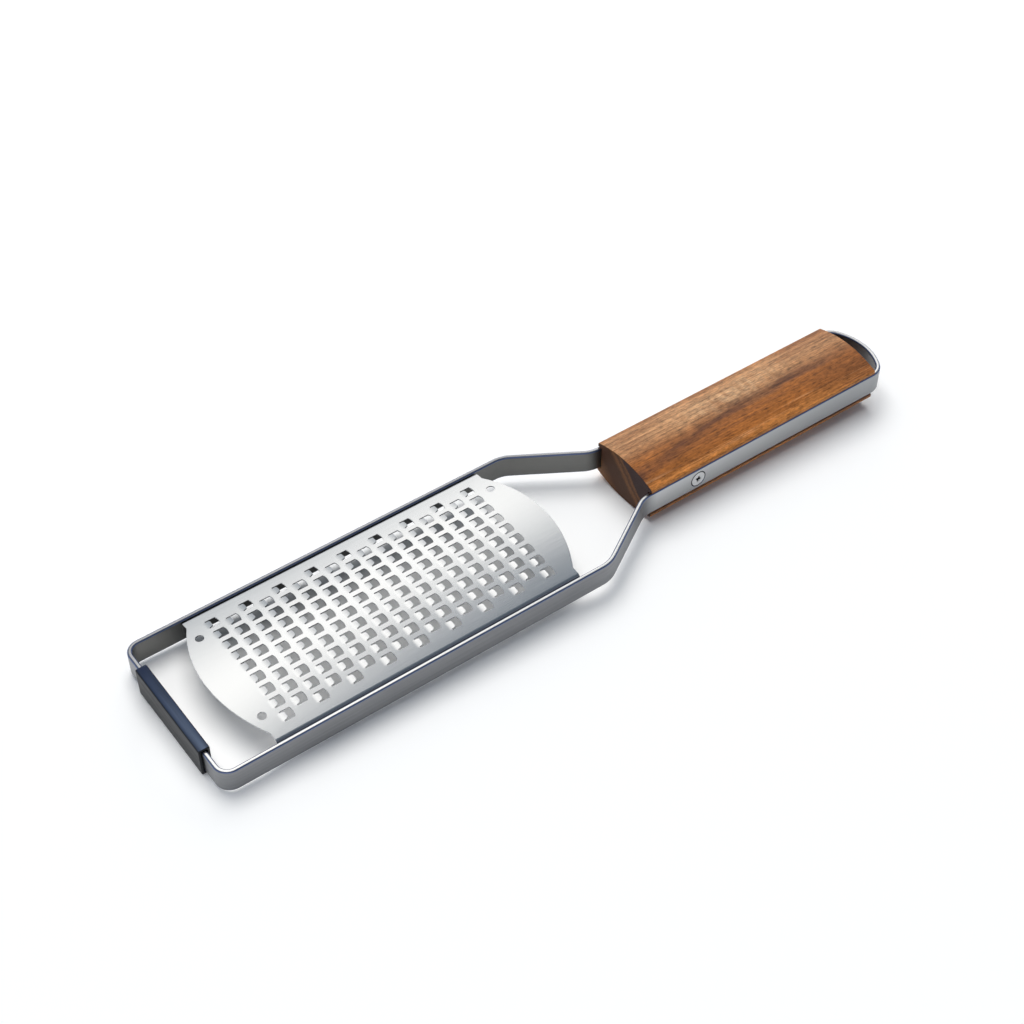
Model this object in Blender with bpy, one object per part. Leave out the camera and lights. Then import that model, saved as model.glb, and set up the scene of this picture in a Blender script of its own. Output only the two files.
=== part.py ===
"""Paddle hand grater with a wooden handle, built as its real pieces.

One stainless strip, bent on edge into a closed ring, is the frame: front bar, two sides,
two shoulders, the straps along the handle and the hanging loop. An arched sheet of raised
teeth is welded between the sides, a wooden block fills the straps, two countersunk screws
and a sleeve nut hold it, and a rubber sleeve covers the front bar as a foot.

Metres, +Z up. The foot points to -X and the loop to +X. Each piece is drawn from the outer
face of the front bar (x = 0) and the middle of the strip's height (z = 0). The empty that
carries them puts the origin under the middle of the whole tool.
"""

import math

import bmesh
import bpy
from mathutils import Vector
from mathutils.geometry import delaunay_2d_cdt

# Fits and faceting, shared by all pieces
CLEARANCE = 0.0003
CUT_OVERRUN = 0.001
MERGE_DISTANCE = 0.000001
FACET_TOLERANCE = 0.00003
ROUND_SEGMENTS = 24

# Frame: one strip on edge
FRAME_WIDTH = 0.075
STRIP_HEIGHT = 0.0108
STRIP_THICKNESS = 0.002
STRIP_EDGE_CHAMFER = 0.0003
FRONT_CORNER_RADIUS = 0.0062
SIDE_RUN_OUT = 0.010
SHOULDER_ANGLE = math.radians(31.5)
SHOULDER_RADIUS = 0.015
WAIST_RADIUS = 0.012
GRIP_WIDTH = 0.0353
LOOP_REACH = 0.0109
LOOP_RADIUS = 0.026
LOOP_CORNER_RADIUS = 0.009

# Grating blade: an arched sheet with flanges and staggered teeth
BLADE_SETBACK = 0.0157
BLADE_THICKNESS = 0.0005
BLADE_END_BULGE = 0.0085
BLADE_EAR_WIDTH = 0.0045
BLADE_CROWN_ABOVE_STRIP = 0.0024
BLADE_CROWN_RISE = 0.0027
FLANGE_BEND_RADIUS = 0.0018
FLANGE_DEPTH = 0.0045
BLADE_HOLE_DIAMETER = 0.0035
BLADE_HOLE_INSET = 0.0098
BLADE_HOLE_SPACING = 0.0456

# Teeth: a window with a rounded far edge, and a raised tongue cut free by two slits
TOOTH_COLUMNS = 17
TOOTH_ROWS = 9
COLUMN_PITCH = 0.00739
PATTERN_END_MARGIN = 0.0071
PATTERN_SIDE_MARGIN = 0.00434
WINDOW_LENGTH = 0.0048
WINDOW_WIDTH = 0.0046
WINDOW_BULGE = 0.0005
WINDOW_ARC_STEPS = 3
SLIT_WIDTH = 0.0005
TONGUE_LENGTH = 0.0017
TONGUE_TIP_WIDTH = 0.0034
TONGUE_TIP_CHAMFER = 0.0008
TONGUE_LIFT = 0.00035

# Handle: one wooden block, crowned above and below, with a groove for each strap
HANDLE_LENGTH = 0.1242
HANDLE_LIP = 0.0021
HANDLE_CROWN = 0.0034
HANDLE_EDGE_RADIUS = 0.0009

# Fastening: two countersunk screws in one sleeve nut
SCREW_INSET = 0.0252
SCREW_HEAD_DIAMETER = 0.0072
SCREW_DIAMETER = 0.004
SCREW_LENGTH = 0.013
SCREW_TIP_CHAMFER = 0.0004
RECESS_SPAN = 0.003
RECESS_SLOT = 0.0008
RECESS_DEPTH = 0.0012
NUT_WALL = 0.0011

# Foot: a rubber sleeve round the front bar
FOOT_LENGTH = 0.047
FOOT_WALL = 0.0011
FOOT_EDGE_RADIUS = 0.0007

# Sizes that follow
half_frame = FRAME_WIDTH / 2
half_grip = GRIP_WIDTH / 2
half_strip = STRIP_HEIGHT / 2
half_chord = half_frame - STRIP_THICKNESS

pattern_length = (TOOTH_COLUMNS - 1) * COLUMN_PITCH + WINDOW_LENGTH
blade_tip = BLADE_SETBACK
blade_front = blade_tip + BLADE_END_BULGE
blade_rear = blade_front + 2 * PATTERN_END_MARGIN + pattern_length
blade_half_width = half_chord - CLEARANCE
ear_start = blade_half_width - BLADE_EAR_WIDTH

shoulder_setback = SHOULDER_RADIUS * math.tan(SHOULDER_ANGLE / 2)
waist_setback = WAIST_RADIUS * math.tan(SHOULDER_ANGLE / 2)
shoulder_corner = blade_rear + SIDE_RUN_OUT + shoulder_setback
waist_corner = shoulder_corner + (half_frame - half_grip) / math.tan(SHOULDER_ANGLE)

handle_front = waist_corner + waist_setback
handle_rear = handle_front + HANDLE_LENGTH
handle_lip_height = half_strip + HANDLE_LIP
handle_peak = handle_lip_height + HANDLE_CROWN
groove_floor = half_grip - STRIP_THICKNESS - CLEARANCE
loop_tip = handle_rear + LOOP_REACH
screw_x = handle_front + SCREW_INSET

screw_radius = SCREW_DIAMETER / 2
head_radius = SCREW_HEAD_DIAMETER / 2
nut_bore_radius = screw_radius + CLEARANCE
nut_radius = nut_bore_radius + NUT_WALL
foot_reach = CLEARANCE + FOOT_WALL


def arc_steps(radius, angle):
    """Facets that keep an arc within the tolerance, even in number so that its peak is a corner."""
    facet = 2 * math.acos(1 - FACET_TOLERANCE / radius)
    return 2 * math.ceil(abs(angle) / facet / 2)


def arc(center, radius, start, end, side=1):
    """Points of an arc with their outward directions; side is -1 where it hollows inwards."""
    steps = arc_steps(radius, end - start)
    stations = []
    for step in range(steps + 1):
        angle = start + (end - start) * step / steps
        outward = Vector((math.cos(angle), math.sin(angle)))
        stations.append((center + side * radius * outward, outward))
    return stations


def radius_over(half_width, rise):
    """Radius of the arc that rises by rise over a chord of twice half_width."""
    return (half_width ** 2 + rise ** 2) / (2 * rise)


def crown(half_width, crown_radius, corner_radius, peak):
    """Where a crowned end's two arc centres lie, and the angle from its axis where they meet."""
    offset = crown_radius - corner_radius
    turn = math.asin((half_width - corner_radius) / offset)
    crown_center = peak - crown_radius
    corner_center = crown_center + offset * math.cos(turn)
    return crown_center, corner_center, turn


def crowned_half(half_width, crown_radius, corner_radius, peak):
    """Stations along +X of a crowned end: the +Y corner arc, the crown and the -Y corner arc."""
    crown_center, corner_center, turn = crown(half_width, crown_radius, corner_radius, peak)
    corner_y = half_width - corner_radius
    quarter = math.pi / 2
    first = arc(Vector((corner_center, corner_y)), corner_radius, quarter, turn)
    middle = arc(Vector((crown_center, 0)), crown_radius, turn, -turn)
    last = arc(Vector((corner_center, -corner_y)), corner_radius, -turn, -quarter)
    return first[:-1] + middle + last[1:]


def material(name, color, roughness, metallic):
    """A plain Principled material in the piece's own colour."""
    made = bpy.data.materials.new(name)
    made.use_nodes = True
    shader = made.node_tree.nodes["Principled BSDF"]
    shader.inputs["Base Color"].default_value = (*color, 1.0)
    shader.inputs["Roughness"].default_value = roughness
    shader.inputs["Metallic"].default_value = metallic
    return made


def add_object(name, body, finish, parent):
    """Turn a bmesh into a named, smooth-shaded object under the assembly's empty."""
    mesh = bpy.data.meshes.new(name)
    body.to_mesh(mesh)
    body.free()
    mesh.shade_smooth()
    mesh.set_sharp_from_angle(angle=math.radians(30))
    item = bpy.data.objects.new(name, mesh)
    bpy.context.collection.objects.link(item)
    item.parent = parent
    if finish:
        mesh.materials.append(finish)
    return item


def slab(outline, holes, creases, place):
    """A closed solid between two faces of one flat outline, each laid out by place(point, face).

    Points are (u, v, lift). Face 1 lies on the side that u, v and it make right-handed.
    """
    points = []
    loops = []
    for loop in [outline] + holes:
        loops.append(list(range(len(points), len(points) + len(loop))))
        points.extend(loop)
    folds = []
    for start, end in creases:
        folds.append((len(points), len(points) + 1))
        points.extend((start, end))
    flat = [Vector((point[0], point[1])) for point in points]
    cut = delaunay_2d_cdt(flat, folds, loops, 1, MERGE_DISTANCE)
    sources = [points[source[0]] for source in cut[3]]
    triangles = [list(face) for face, cover in zip(cut[2], cut[5]) if list(cover) == [0]]

    body = bmesh.new()
    upper = [body.verts.new(place(point, 1)) for point in sources]
    lower = [body.verts.new(place(point, 0)) for point in sources]
    borders = set()
    for triangle in triangles:
        body.faces.new([upper[corner] for corner in triangle])
        body.faces.new([lower[corner] for corner in reversed(triangle)])
        for index, corner in enumerate(triangle):
            borders.add((triangle[index - 1], corner))
    for start, end in sorted(borders):
        if (end, start) not in borders:
            body.faces.new((upper[start], lower[start], lower[end], upper[end]))
    return body


def turned(profile, closed):
    """A profile of (radius, height) points spun round Z; an open one starts and ends on Z."""
    body = bmesh.new()
    corners = [body.verts.new((radius, 0, height)) for radius, height in profile]
    edges = [body.edges.new(pair) for pair in zip(corners, corners[1:])]
    if closed:
        edges.append(body.edges.new((corners[-1], corners[0])))
    bmesh.ops.spin(
        body,
        geom=corners + edges,
        cent=(0, 0, 0),
        axis=(0, 0, 1),
        angle=math.tau,
        steps=ROUND_SEGMENTS,
        use_merge=True,
    )
    bmesh.ops.remove_doubles(body, verts=body.verts, dist=MERGE_DISTANCE)
    bmesh.ops.recalc_face_normals(body, faces=body.faces)
    return body


def cut_with(item, cutter):
    """Subtract a cutter, which stays in the file as a wire outline."""
    cutter.hide_render = True
    cutter.display_type = "WIRE"
    boolean = item.modifiers.new(cutter.name, "BOOLEAN")
    boolean.operation = "DIFFERENCE"
    boolean.solver = "EXACT"
    boolean.object = cutter


def face_outwards(item, side):
    """Lay a piece turned round Z along Y on the screws' line, its +Z end towards side."""
    item.location = (screw_x, side * half_grip, 0)
    item.rotation_euler = (-side * math.pi / 2, 0, 0)


def frame_stations():
    """The outer face of the strip round the whole ring, clockwise from the near front corner."""
    quarter = math.pi / 2
    lean = quarter - SHOULDER_ANGLE
    corner = FRONT_CORNER_RADIUS
    corner_y = half_frame - corner
    bend = Vector((shoulder_corner - shoulder_setback, half_frame - SHOULDER_RADIUS))
    waist = Vector((handle_front, half_grip + WAIST_RADIUS))
    side = arc(Vector((corner, corner_y)), corner, math.pi, quarter)
    side += arc(bend, SHOULDER_RADIUS, quarter, lean)
    side += arc(waist, WAIST_RADIUS, lean, quarter, side=-1)
    loop = crowned_half(half_grip, LOOP_RADIUS, LOOP_CORNER_RADIUS, loop_tip)
    mirrored = [(Vector((p.x, -p.y)), Vector((n.x, -n.y))) for p, n in reversed(side)]
    return side + loop + mirrored


def make_frame_band(parent, finish):
    """Sweep the strip's chamfered section round the ring, then countersink the screw holes."""
    chamfer = STRIP_EDGE_CHAMFER
    deep = STRIP_THICKNESS
    section = [
        (0, half_strip - chamfer),
        (chamfer, half_strip),
        (deep - chamfer, half_strip),
        (deep, half_strip - chamfer),
        (deep, chamfer - half_strip),
        (deep - chamfer, -half_strip),
        (chamfer, -half_strip),
        (0, chamfer - half_strip),
    ]
    body = bmesh.new()
    rings = []
    for point, outward in frame_stations():
        places = [(point - inset * outward, height) for inset, height in section]
        rings.append([body.verts.new((place.x, place.y, height)) for place, height in places])
    for index, ring in enumerate(rings):
        before = rings[index - 1]
        for edge in range(len(section)):
            body.faces.new((before[edge - 1], before[edge], ring[edge], ring[edge - 1]))
    bmesh.ops.recalc_face_normals(body, faces=body.faces)
    band = add_object("frame_band", body, finish, parent)

    mouth = head_radius + CLEARANCE
    hole = nut_bore_radius
    sink = mouth - hole
    profile = [
        (0, CUT_OVERRUN),
        (mouth + CUT_OVERRUN, CUT_OVERRUN),
        (hole, -sink),
        (hole, -STRIP_THICKNESS - CUT_OVERRUN),
        (0, -STRIP_THICKNESS - CUT_OVERRUN),
    ]
    for name, side in (("near_countersink", -1), ("far_countersink", 1)):
        cutter = add_object(name, turned(profile, False), None, parent)
        face_outwards(cutter, side)
        cut_with(band, cutter)
    return band


def blade_section():
    """The sheet's outer line across its width: arch radius, arc centres and running lengths."""
    radius = radius_over(half_chord, BLADE_CROWN_RISE)
    peak = half_strip + BLADE_CROWN_ABOVE_STRIP
    arch_center, bend_center, turn = crown(blade_half_width, radius, FLANGE_BEND_RADIUS, peak)
    arch_length = radius * turn
    bend_length = FLANGE_BEND_RADIUS * (math.pi / 2 - turn)
    return radius, arch_center, bend_center, turn, arch_length, bend_length


def lay_on_blade(point, face):
    """Wrap a point of the flat sheet over the arch, the bend and the flange."""
    radius, arch_center, bend_center, turn, arch_length, bend_length = blade_section()
    x, across, lift = point
    run = abs(across)
    if run <= arch_length:
        angle = run / radius
        base = Vector((0, arch_center)) + radius * Vector((math.sin(angle), math.cos(angle)))
    elif run < arch_length + bend_length:
        angle = turn + (run - arch_length) / FLANGE_BEND_RADIUS
        center = Vector((blade_half_width - FLANGE_BEND_RADIUS, bend_center))
        base = center + FLANGE_BEND_RADIUS * Vector((math.sin(angle), math.cos(angle)))
    else:
        angle = math.pi / 2
        base = Vector((blade_half_width, bend_center - (run - arch_length - bend_length)))
    outward = Vector((math.sin(angle), math.cos(angle)))
    spot = base + (lift + (face - 1) * BLADE_THICKNESS) * outward
    return x, math.copysign(spot.x, across), spot.y


def tooth(x, across):
    """One tooth's window, slit ends towards the foot, and the fold at the root of its tongue."""
    half = WINDOW_WIDTH / 2
    root = half - SLIT_WIDTH
    tip = TONGUE_TIP_WIDTH / 2
    far = WINDOW_LENGTH - WINDOW_BULGE
    shoulder = TONGUE_LENGTH - TONGUE_TIP_CHAMFER
    radius = radius_over(half, WINDOW_BULGE)
    reach = math.asin(half / radius)
    points = [(0, -half, 0)]
    for step in range(WINDOW_ARC_STEPS + 1):
        angle = reach * (2 * step / WINDOW_ARC_STEPS - 1)
        bulge = radius * (math.cos(angle) - math.cos(reach))
        points.append((far + bulge, radius * math.sin(angle), 0))
    points += [(0, half, 0), (0, root, 0)]
    tip_lift = TONGUE_LIFT
    shoulder_lift = TONGUE_LIFT * shoulder / TONGUE_LENGTH
    points += [
        (shoulder, tip, shoulder_lift),
        (TONGUE_LENGTH, tip - TONGUE_TIP_CHAMFER, tip_lift),
        (TONGUE_LENGTH, TONGUE_TIP_CHAMFER - tip, tip_lift),
        (shoulder, -tip, shoulder_lift),
        (0, -root, 0),
    ]
    placed = [(x + along, across + aside, lift) for along, aside, lift in points]
    return placed, ((x, across - root, 0), (x, across + root, 0))


def make_grating_blade(parent, finish):
    """Cut the teeth and the round holes in a flat sheet, then arch it and fold its flanges."""
    arch_length, bend_length = blade_section()[-2:]
    bend_end = arch_length + bend_length
    bend_steps = arc_steps(FLANGE_BEND_RADIUS, math.pi / 2)
    folds = [arch_length + bend_length * step / bend_steps for step in range(bend_steps + 1)]
    side_run = folds + [bend_end + FLANGE_DEPTH]

    end_radius = radius_over(ear_start, BLADE_END_BULGE)
    end_turn = math.asin(ear_start / end_radius)
    front_arc = arc(Vector((blade_tip + end_radius, 0)), end_radius,
                    math.pi - end_turn, math.pi + end_turn)
    rear_tip = blade_rear + BLADE_END_BULGE
    rear_arc = arc(Vector((rear_tip - end_radius, 0)), end_radius, -end_turn, end_turn)
    outline = [(point.x, point.y, 0) for point, outward in front_arc]
    outline += [(blade_front, -run, 0) for run in side_run]
    outline += [(blade_rear, -run, 0) for run in reversed(side_run)]
    outline += [(point.x, point.y, 0) for point, outward in rear_arc]
    outline += [(blade_rear, run, 0) for run in side_run]
    outline += [(blade_front, run, 0) for run in reversed(side_run)]

    windows = []
    creases = []
    pattern_width = 2 * (arch_length - PATTERN_SIDE_MARGIN)
    row_pitch = (pattern_width - WINDOW_WIDTH) / (TOOTH_ROWS - 1)
    for column in range(TOOTH_COLUMNS):
        rows = TOOTH_ROWS - column % 2
        x = blade_front + PATTERN_END_MARGIN + column * COLUMN_PITCH
        for row in range(rows):
            window, root = tooth(x, (row - (rows - 1) / 2) * row_pitch)
            windows.append(window)
            creases.append(root)
    for fold in folds:
        for across in (-fold, fold):
            creases.append(((blade_front, across, 0), (blade_rear, across, 0)))

    front_hole = blade_tip + BLADE_HOLE_INSET
    rear_hole = rear_tip - BLADE_HOLE_INSET
    hole_y = BLADE_HOLE_SPACING / 2
    for x, y in ((front_hole, -hole_y), (front_hole, hole_y), (rear_hole, hole_y)):
        ring = arc(Vector((x, y)), BLADE_HOLE_DIAMETER / 2, 0, math.tau)
        windows.append([(point.x, point.y, 0) for point, outward in ring[:-1]])
    body = slab(outline, windows, creases, lay_on_blade)
    return add_object("grating_blade", body, finish, parent)


def make_handle(parent, finish):
    """Draw the crowned block across the tool, groove its sides, and bore it for the nut."""
    radius = radius_over(half_grip, HANDLE_CROWN)
    crowned = crowned_half(half_grip, radius, HANDLE_EDGE_RADIUS, handle_peak)
    top = [(point.y, point.x, 0) for point, outward in reversed(crowned)]
    groove = half_strip + CLEARANCE
    outline = top + [
        (half_grip, groove, 0),
        (groove_floor, groove, 0),
        (groove_floor, -groove, 0),
        (half_grip, -groove, 0),
    ]
    outline += [(y, -z, 0) for y, z, lift in reversed(top)]
    outline += [
        (-half_grip, -groove, 0),
        (-groove_floor, -groove, 0),
        (-groove_floor, groove, 0),
        (-half_grip, groove, 0),
    ]
    outline.reverse()

    def place(point, face):
        return handle_front + face * HANDLE_LENGTH, point[0], point[1]

    handle = add_object("handle", slab(outline, [], [], place), finish, parent)
    bore = nut_radius + CLEARANCE
    reach = groove_floor + CUT_OVERRUN
    profile = [(0, reach), (bore, reach), (bore, -reach), (0, -reach)]
    cutter = add_object("handle_cross_bore", turned(profile, False), None, parent)
    cutter.location = (screw_x, 0, 0)
    cutter.rotation_euler = (math.pi / 2, 0, 0)
    cut_with(handle, cutter)
    return handle


def make_sleeve_nut(parent, finish):
    """A plain tube through the handle, as long as the wood between the grooves."""
    profile = [
        (nut_bore_radius, groove_floor),
        (nut_radius, groove_floor),
        (nut_radius, -groove_floor),
        (nut_bore_radius, -groove_floor),
    ]
    nut = add_object("sleeve_nut", turned(profile, True), finish, parent)
    nut.location = (screw_x, 0, 0)
    nut.rotation_euler = (math.pi / 2, 0, 0)
    return nut


def make_screws(parent, finish):
    """Two countersunk screws with a cross recess, heads flush with the straps."""
    head_depth = head_radius - screw_radius
    profile = [
        (0, 0),
        (head_radius, 0),
        (screw_radius, -head_depth),
        (screw_radius, SCREW_TIP_CHAMFER - SCREW_LENGTH),
        (screw_radius - SCREW_TIP_CHAMFER, -SCREW_LENGTH),
        (0, -SCREW_LENGTH),
    ]
    wide = RECESS_SPAN / 2
    slim = RECESS_SLOT / 2
    arm = [(wide, -slim, 0), (wide, slim, 0), (slim, slim, 0)]
    cross = []
    for turn in range(4):
        for u, v, lift in arm:
            for step in range(turn):
                u, v = -v, u
            cross.append((u, v, lift))

    def place(point, face):
        return point[0], point[1], face * CUT_OVERRUN - (1 - face) * RECESS_DEPTH

    for name, side in (("screw_near", -1), ("screw_far", 1)):
        screw = add_object(name, turned(profile, False), finish, parent)
        face_outwards(screw, side)
        cutter = add_object(name + "_recess", slab(cross, [], [], place), None, parent)
        face_outwards(cutter, side)
        cut_with(screw, cutter)


def make_rubber_foot(parent, finish):
    """A moulded sleeve with the strip's section as its bore, centred on the front bar."""
    high = half_strip + foot_reach
    deep = STRIP_THICKNESS / 2 + foot_reach
    middle = STRIP_THICKNESS / 2
    radius = FOOT_EDGE_RADIUS
    outline = []
    for quarter, (z_side, x_side) in enumerate(((1, 1), (-1, 1), (-1, -1), (1, -1))):
        center = Vector((z_side * (high - radius), middle + x_side * (deep - radius)))
        start = quarter * math.pi / 2
        corner = arc(center, radius, start, start + math.pi / 2)
        outline += [(point.x, point.y, 0) for point, outward in corner]
    bore_z = half_strip + CLEARANCE
    bore_x = STRIP_THICKNESS + CLEARANCE
    bore = [(bore_z, -CLEARANCE, 0), (bore_z, bore_x, 0), (-bore_z, bore_x, 0), (-bore_z, -CLEARANCE, 0)]

    def place(point, face):
        return point[1], (face - 1 / 2) * FOOT_LENGTH, point[0]

    return add_object("rubber_foot", slab(outline, [bore], [], place), finish, parent)


def main():
    for item in list(bpy.data.objects):
        bpy.data.objects.remove(item, do_unlink=True)

    grater = bpy.data.objects.new("grater", None)
    bpy.context.collection.objects.link(grater)
    grater.location = (-(loop_tip - foot_reach) / 2, 0, handle_peak)

    brushed = material("brushed_steel", (0.55, 0.55, 0.56), 0.32, 1.0)
    etched = material("etched_steel", (0.70, 0.70, 0.71), 0.28, 1.0)
    plated = material("plated_steel", (0.50, 0.50, 0.52), 0.22, 1.0)
    wood = material("oiled_hardwood", (0.36, 0.155, 0.055), 0.55, 0.0)
    rubber = material("dark_rubber", (0.012, 0.015, 0.028), 0.55, 0.0)

    make_frame_band(grater, brushed)
    make_grating_blade(grater, etched)
    make_handle(grater, wood)
    make_sleeve_nut(grater, plated)
    make_screws(grater, plated)
    make_rubber_foot(grater, rubber)


main()
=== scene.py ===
"""A paddle hand grater: steel strip frame, etched grating blade, hardwood handle with two
screws, and a rubber foot, lying on a pale table under soft studio light."""

import math

import bmesh
import bpy
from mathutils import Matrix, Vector
from mathutils.geometry import delaunay_2d_cdt


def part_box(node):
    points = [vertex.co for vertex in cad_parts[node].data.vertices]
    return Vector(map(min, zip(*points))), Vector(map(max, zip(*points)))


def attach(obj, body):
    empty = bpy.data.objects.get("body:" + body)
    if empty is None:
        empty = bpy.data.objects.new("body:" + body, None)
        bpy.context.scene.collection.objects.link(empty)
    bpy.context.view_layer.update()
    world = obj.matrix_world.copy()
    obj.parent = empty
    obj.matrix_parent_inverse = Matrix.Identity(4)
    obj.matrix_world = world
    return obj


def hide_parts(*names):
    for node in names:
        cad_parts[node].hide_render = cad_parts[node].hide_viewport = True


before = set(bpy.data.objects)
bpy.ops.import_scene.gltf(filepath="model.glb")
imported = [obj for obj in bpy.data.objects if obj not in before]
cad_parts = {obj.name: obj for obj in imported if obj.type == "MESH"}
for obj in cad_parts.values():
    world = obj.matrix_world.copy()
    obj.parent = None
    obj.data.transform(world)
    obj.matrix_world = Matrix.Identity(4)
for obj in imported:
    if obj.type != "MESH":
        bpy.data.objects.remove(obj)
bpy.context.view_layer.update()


# Frame: one stainless strip set on edge and bent into a closed ring, its joint welded under
# the rubber foot. The faces are brushed along the strip, the edges tumbled round, and each
# strap is countersunk for a screw.
strip_low, strip_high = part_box("frame_band")
strip_height = strip_high.z - strip_low.z
strip_middle = (strip_low.z + strip_high.z) / 2
strip_thickness = 0.002
same_point = 0.000001
brush_depth = 0.000012
strip_edge_radius = 0.00072
strip_edge_facets = 6
strap_length = 0.125
strap_blend = 0.01
half_frame = strip_high.y
grip_width = 0.0353
half_grip = grip_width / 2
front_corner_radius = 0.0062
shoulder_angle = math.radians(31.5)
shoulder_radius = 0.015
shoulder_inset = 0.17567
shoulder_x = strip_low.x + shoulder_inset
waist_radius = 0.012
waist_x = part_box("handle")[0].x
loop_radius = 0.026
loop_corner_radius = 0.009
screw_inset = 0.0252
screw_x = waist_x + screw_inset
countersink_radius = 0.0039
countersink_throat = 0.0023
cutter_proud = 0.001
cutter_depth = 0.003
brushed_pale = (0.27, 0.275, 0.285, 1)
brushed_dark = (0.20, 0.205, 0.215, 1)
inner_face_shade = (0.145, 0.145, 0.135, 1)
strap_highlight_top = (0.56, 0.57, 0.58, 1)
strap_shade_low = (0.38, 0.385, 0.39, 1)
strap_shade_rear = (0.27, 0.28, 0.29, 1)
rounding_dark_reflection = (0.125, 0.16, 0.29, 1)
edge_highlight_near = (0.67, 0.675, 0.68, 1)
edge_dark_far = (0.285, 0.29, 0.305, 1)
countersink_shade = (0.03, 0.03, 0.033, 1)


class Wire:
    """A node's output. Arithmetic on it adds Math nodes, and node() adds any other kind."""

    def __init__(self, tree, socket=None):
        self.tree = tree
        self.socket = socket

    def node(self, kind, settings=None, sockets=None, give=0):
        """Add a node: its settings first, then a value, a Wire or a list of Wires a socket."""
        made = self.tree.nodes.new(kind)
        for name, value in (settings or {}).items():
            if name == "stops":
                for index, (position, color) in enumerate(value):
                    if index > 1:
                        made.color_ramp.elements.new(position)
                    made.color_ramp.elements[index].position = position
                    made.color_ramp.elements[index].color = color
            else:
                setattr(made, name, value)
        for key, value in (sockets or {}).items():
            for part in value if isinstance(value, list) else [value]:
                if isinstance(part, Wire):
                    self.tree.links.new(part.socket, made.inputs[key])
                else:
                    made.inputs[key].default_value = part
        return Wire(self.tree, made.outputs[give])

    def other(self, give):
        """Another output of the same node."""
        return Wire(self.tree, self.socket.node.outputs[give])

    def into(self, socket):
        """Feed a socket of a node that is there already."""
        self.tree.links.new(self.socket, socket)

    def math(self, operation, *values):
        return self.node("ShaderNodeMath", {"operation": operation}, dict(enumerate(values)))

    def __add__(self, value):
        return self.math("ADD", self, value)

    def __sub__(self, value):
        return self.math("SUBTRACT", self, value)

    def __rsub__(self, value):
        return self.math("SUBTRACT", value, self)

    def __mul__(self, value):
        return self.math("MULTIPLY", self, value)

    def __truediv__(self, value):
        return self.math("DIVIDE", self, value)

    def __rtruediv__(self, value):
        return self.math("DIVIDE", value, self)

    def __gt__(self, value):
        return self.math("GREATER_THAN", self, value)

    def __abs__(self):
        return self.math("ABSOLUTE", self)

    __radd__ = __add__
    __rmul__ = __mul__


def mix(factor, first, second):
    """Blend two colours, each a Wire or (r, g, b, 1), by a Wire."""
    sockets = {0: factor, 6: first, 7: second}
    return factor.node("ShaderNodeMix", {"data_type": "RGBA"}, sockets, give=2)


def ramp(wire, *stops):
    """Read a value off a ramp of (position, colour or grey) stops."""
    shades = []
    for position, shade in stops:
        shades.append((position, shade if isinstance(shade, tuple) else (shade, shade, shade, 1)))
    return wire.node("ShaderNodeValToRGB", {"stops": shades}, {0: wire})


def split(vector):
    """A vector's x as a Wire, whose other(1) and other(2) are its y and z."""
    return vector.node("ShaderNodeSeparateXYZ", None, {0: vector})


def distance(first, second=(0, 0, 0)):
    """How far apart two points are."""
    sockets = {0: first, 1: second}
    return first.node("ShaderNodeVectorMath", {"operation": "DISTANCE"}, sockets, give=1)


def from_screws(parts):
    """Distance of a place, split into its parts, from the line through both screws."""
    apart = {0: parts - screw_x, 2: parts.other(2) - strip_middle}
    return distance(parts.node("ShaderNodeCombineXYZ", None, apart))


def noise(place, stretch, detail=3.0, roughness=0.5, twist=0.0):
    """Noise on a place stretched by (x, y, z) cells per metre."""
    scaled = place.node("ShaderNodeVectorMath", {"operation": "MULTIPLY"}, {0: place, 1: stretch})
    return place.node("ShaderNodeTexNoise", None, {
        "Vector": scaled,
        "Scale": 1.0,
        "Detail": detail,
        "Roughness": roughness,
        "Distortion": twist,
    })


def start_material(name, metallic):
    """A Principled material, its shader node and a Wire of object coordinates."""
    made = bpy.data.materials.new(name)
    made.use_nodes = True
    shader = made.node_tree.nodes["Principled BSDF"]
    shader.inputs["Metallic"].default_value = metallic
    place = Wire(made.node_tree).node("ShaderNodeTexCoord", give="Object")
    return made, shader, place


def bump_into(shader, height, depth):
    """Raise the surface by a height Wire; depth is in metres."""
    bump = height.node("ShaderNodeBump", None, {"Height": height, "Distance": depth})
    bump.into(shader.inputs["Normal"])


def start_shape(name, kinds):
    """A Geometry Nodes tree with named inputs, and a Wire for each."""
    tree = bpy.data.node_groups.new(name, "GeometryNodeTree")
    tree.interface.new_socket("Geometry", in_out="OUTPUT", socket_type="NodeSocketGeometry")
    for label, kind in {"Geometry": "Geometry", **kinds}.items():
        tree.interface.new_socket(label, in_out="INPUT", socket_type="NodeSocket" + kind)
    entry = tree.nodes.new("NodeGroupInput")
    return tree, {label: Wire(tree, entry.outputs[label]) for label in ("Geometry", *kinds)}


def close_shape(geometry, finish):
    """End a tree in Realize Instances and Set Material."""
    solid = geometry.node("GeometryNodeRealizeInstances", None, {0: geometry})
    painted = solid.node("GeometryNodeSetMaterial", None, {"Geometry": solid, "Material": finish})
    painted.into(geometry.tree.nodes.new("NodeGroupOutput").inputs[0])


def run_shape(item, tree, values):
    """Put a tree on an object, with its inputs set by their identifiers."""
    modifier = item.modifiers.new(tree.name, "NODES")
    modifier.node_group = tree
    for socket in tree.interface.items_tree:
        if socket.name in values:
            modifier[socket.identifier] = values[socket.name]


def add_piece(name, body):
    """Make an object in the scene of a bmesh."""
    mesh = bpy.data.meshes.new(name)
    body.to_mesh(mesh)
    body.free()
    item = bpy.data.objects.new(name, mesh)
    bpy.context.scene.collection.objects.link(item)
    return item


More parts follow.
